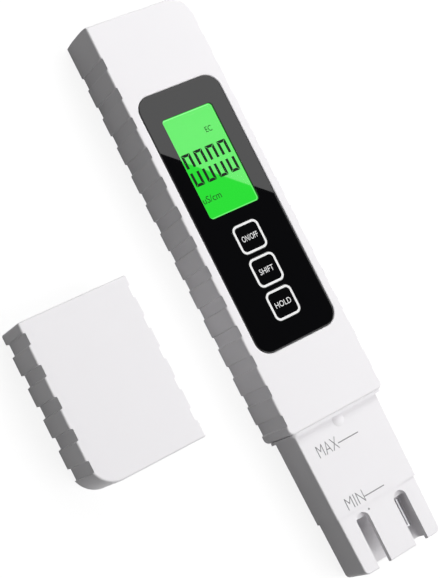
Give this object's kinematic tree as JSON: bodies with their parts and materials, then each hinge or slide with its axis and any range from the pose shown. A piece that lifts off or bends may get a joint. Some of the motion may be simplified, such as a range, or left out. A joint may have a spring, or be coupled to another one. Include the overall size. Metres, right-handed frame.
{
  "type": "water quality test pen",
  "caption": "Flat pen-shaped TDS meter with a lit display, keys on a black panel, a slotted sensor end and a loose cap.",
  "frame": {"origin": "centre of the case's flat back face, which the meter lies on", "axes": "+X across the case, +Y along it towards the blunt top end, +Z out of the display side"},
  "size_m": [0.0795, 0.15, 0.0137],
  "materials": {
    "case_plastic": "fine satin moulding, white",
    "cap_plastic": "fine satin moulding, white",
    "cover_plastic": "fine satin moulding, white",
    "housing_plastic": "satin moulding, white, with engraved level lines",
    "panel_black": "black printed behind clear gloss film",
    "key_black": "black gloss with a white printed ring",
    "window_clear": "clear polished window",
    "display_green": "green backlit liquid crystal display",
    "light_guide_milky": "milky diffusing plastic",
    "connector_rubber": "striped conductive rubber",
    "led_epoxy": "moulded lamp package",
    "board_green": "solder mask over glass fibre",
    "chip_black": "moulded epoxy",
    "switch_black": "moulded switch body",
    "plunger_plastic": "moulded plunger",
    "bright_steel": "plated steel",
    "screw_steel": "zinc-plated screws",
    "electrode_metal": "turned titanium alloy",
    "block_plastic": "moulded white plug",
    "seal_rubber": "black rubber",
    "lead_sleeve": "insulated wire"
  },
  "bodies": {
    "meter": {"backlight_leds": "led_epoxy", "board_screws": "screw_steel", "chip_resistors": "chip_black", "circuit_board": "board_green", "controller_chip": "chip_black", "crystal_can": "bright_steel", "display_connector": "connector_rubber", "display_glass": "display_green", "display_panel": "panel_black", "display_window": "window_clear", "electrode_block": "block_plastic", "front_case": "case_plastic", "hold_switch": "switch_black", "left_electrode": "electrode_metal", "light_guide": "light_guide_milky", "lower_cell": "bright_steel", "lower_cell_contact": "bright_steel", "neck_seal": "seal_rubber", "power_switch": "switch_black", "rear_case": "case_plastic", "right_electrode": "electrode_metal", "sensor_housing": "housing_plastic", "sensor_leads": "lead_sleeve", "shift_switch": "switch_black", "temperature_probe": "electrode_metal", "upper_cell": "bright_steel", "upper_cell_contact": "bright_steel"},
    "power_key": {"power_key": "key_black", "power_plunger": "plunger_plastic"},
    "shift_key": {"shift_key": "key_black", "shift_plunger": "plunger_plastic"},
    "hold_key": {"hold_key": "key_black", "hold_plunger": "plunger_plastic"},
    "battery_cover": {"battery_cover": "cover_plastic", "battery_link": "bright_steel"},
    "cap": {"cap": "cap_plastic"}
  },
  "joints": [
    {"name": "power_key_press", "type": "slide", "parent": "meter", "child": "power_key", "axis": [0, 0, -1], "range_m": [0, 0.0003], "stiffness_N_per_m": 1500},
    {"name": "shift_key_press", "type": "slide", "parent": "meter", "child": "shift_key", "axis": [0, 0, -1], "range_m": [0, 0.0003], "stiffness_N_per_m": 1500},
    {"name": "hold_key_press", "type": "slide", "parent": "meter", "child": "hold_key", "axis": [0, 0, -1], "range_m": [0, 0.0003], "stiffness_N_per_m": 1500},
    {"name": "battery_cover_slide", "type": "slide", "parent": "meter", "child": "battery_cover", "axis": [0, 1, 0], "range_m": [0, 0.0275]},
    {"name": "cap_pull", "type": "slide", "parent": "meter", "child": "cap", "axis": [0, -1, 0], "range_m": [0, 0.041]}
  ]
}
